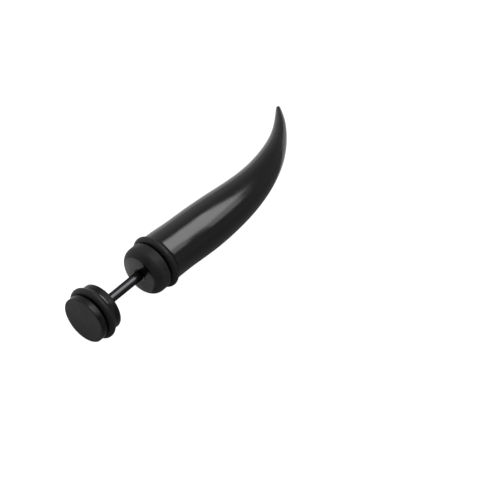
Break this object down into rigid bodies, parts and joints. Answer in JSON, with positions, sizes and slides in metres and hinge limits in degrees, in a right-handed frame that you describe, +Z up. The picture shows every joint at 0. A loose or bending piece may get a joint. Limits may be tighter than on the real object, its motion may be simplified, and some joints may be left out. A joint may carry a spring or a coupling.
{
  "type": "stud earring",
  "caption": "Ear stud: a tapered, curved horn on a thin straight post, with a flat round end that comes off the post and a rubber ring at each side of the ear.",
  "frame": {"origin": "middle of the post, where the ear lobe sits", "axes": "+X level, from the flat end towards the horn, +Y level, to the side that the tip bends to, +Z up, with the jewel lying on a flat surface as it comes to rest by itself"},
  "size_m": [0.0428, 0.0105, 0.0078],
  "materials": {
    "horn_acrylic": "polished black acrylic",
    "disc_acrylic": "satin black acrylic",
    "post_steel": "black coated surgical steel, polished",
    "ring_rubber": "matt black nitrile rubber"
  },
  "bodies": {
    "jewel": {"horn": "horn_acrylic", "horn_o_ring": "ring_rubber", "post": "post_steel"},
    "flat_end": {"end_disc": "disc_acrylic", "disc_o_ring": "ring_rubber"}
  },
  "joints": [
    {"name": "flat_end_off", "type": "slide", "parent": "jewel", "child": "flat_end", "axis": [-0.998, 0, 0.0628], "range_m": [0, 0.02]}
  ]
}
